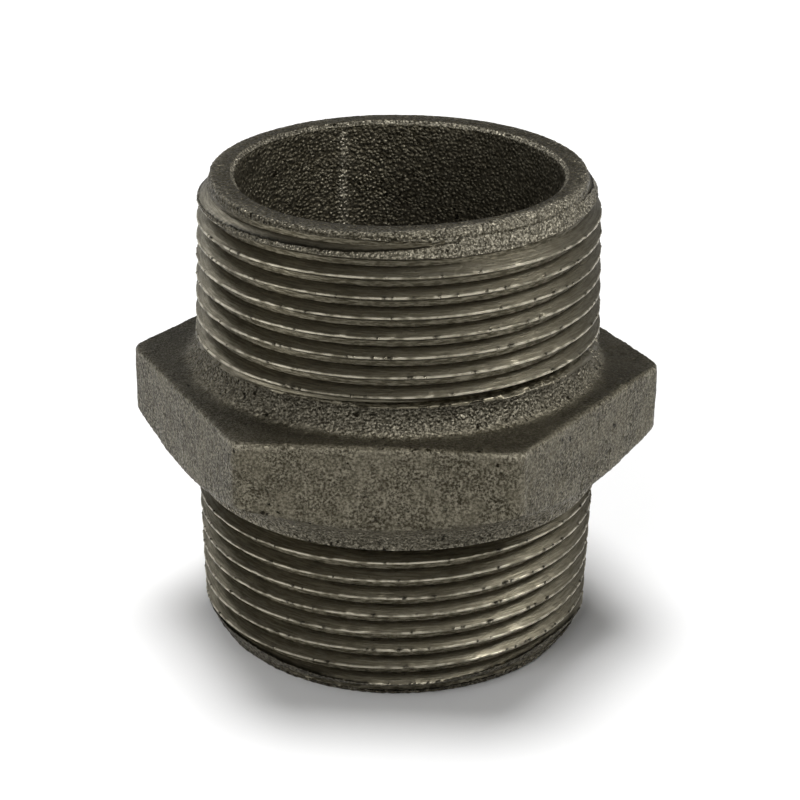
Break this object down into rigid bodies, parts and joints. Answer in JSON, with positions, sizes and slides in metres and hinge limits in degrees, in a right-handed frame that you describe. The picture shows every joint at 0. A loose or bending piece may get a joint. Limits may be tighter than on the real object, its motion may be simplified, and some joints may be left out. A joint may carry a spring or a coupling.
{
  "type": "hex nipple",
  "caption": "Malleable iron hexagon nipple: two male taper pipe threads either side of a hexagon collar, with a plain waterway through it.",
  "frame": {"origin": "centre of the lower end face, on the waterway's axis", "axes": "+Z along the waterway's axis, from the lower to the upper end; +Y normal to one flat of the hexagon, and +X through one of its corners"},
  "size_m": [0.0628, 0.055, 0.0575],
  "materials": {
    "cast_skin": "sand-cast black malleable iron, oiled",
    "cut_thread": "die-cut thread in black malleable iron, oiled, burnished on the crests"
  },
  "bodies": {
    "root": {"hex_collar": "cast_skin", "upper_thread_end": "cut_thread", "lower_thread_end": "cut_thread"}
  },
  "joints": []
}
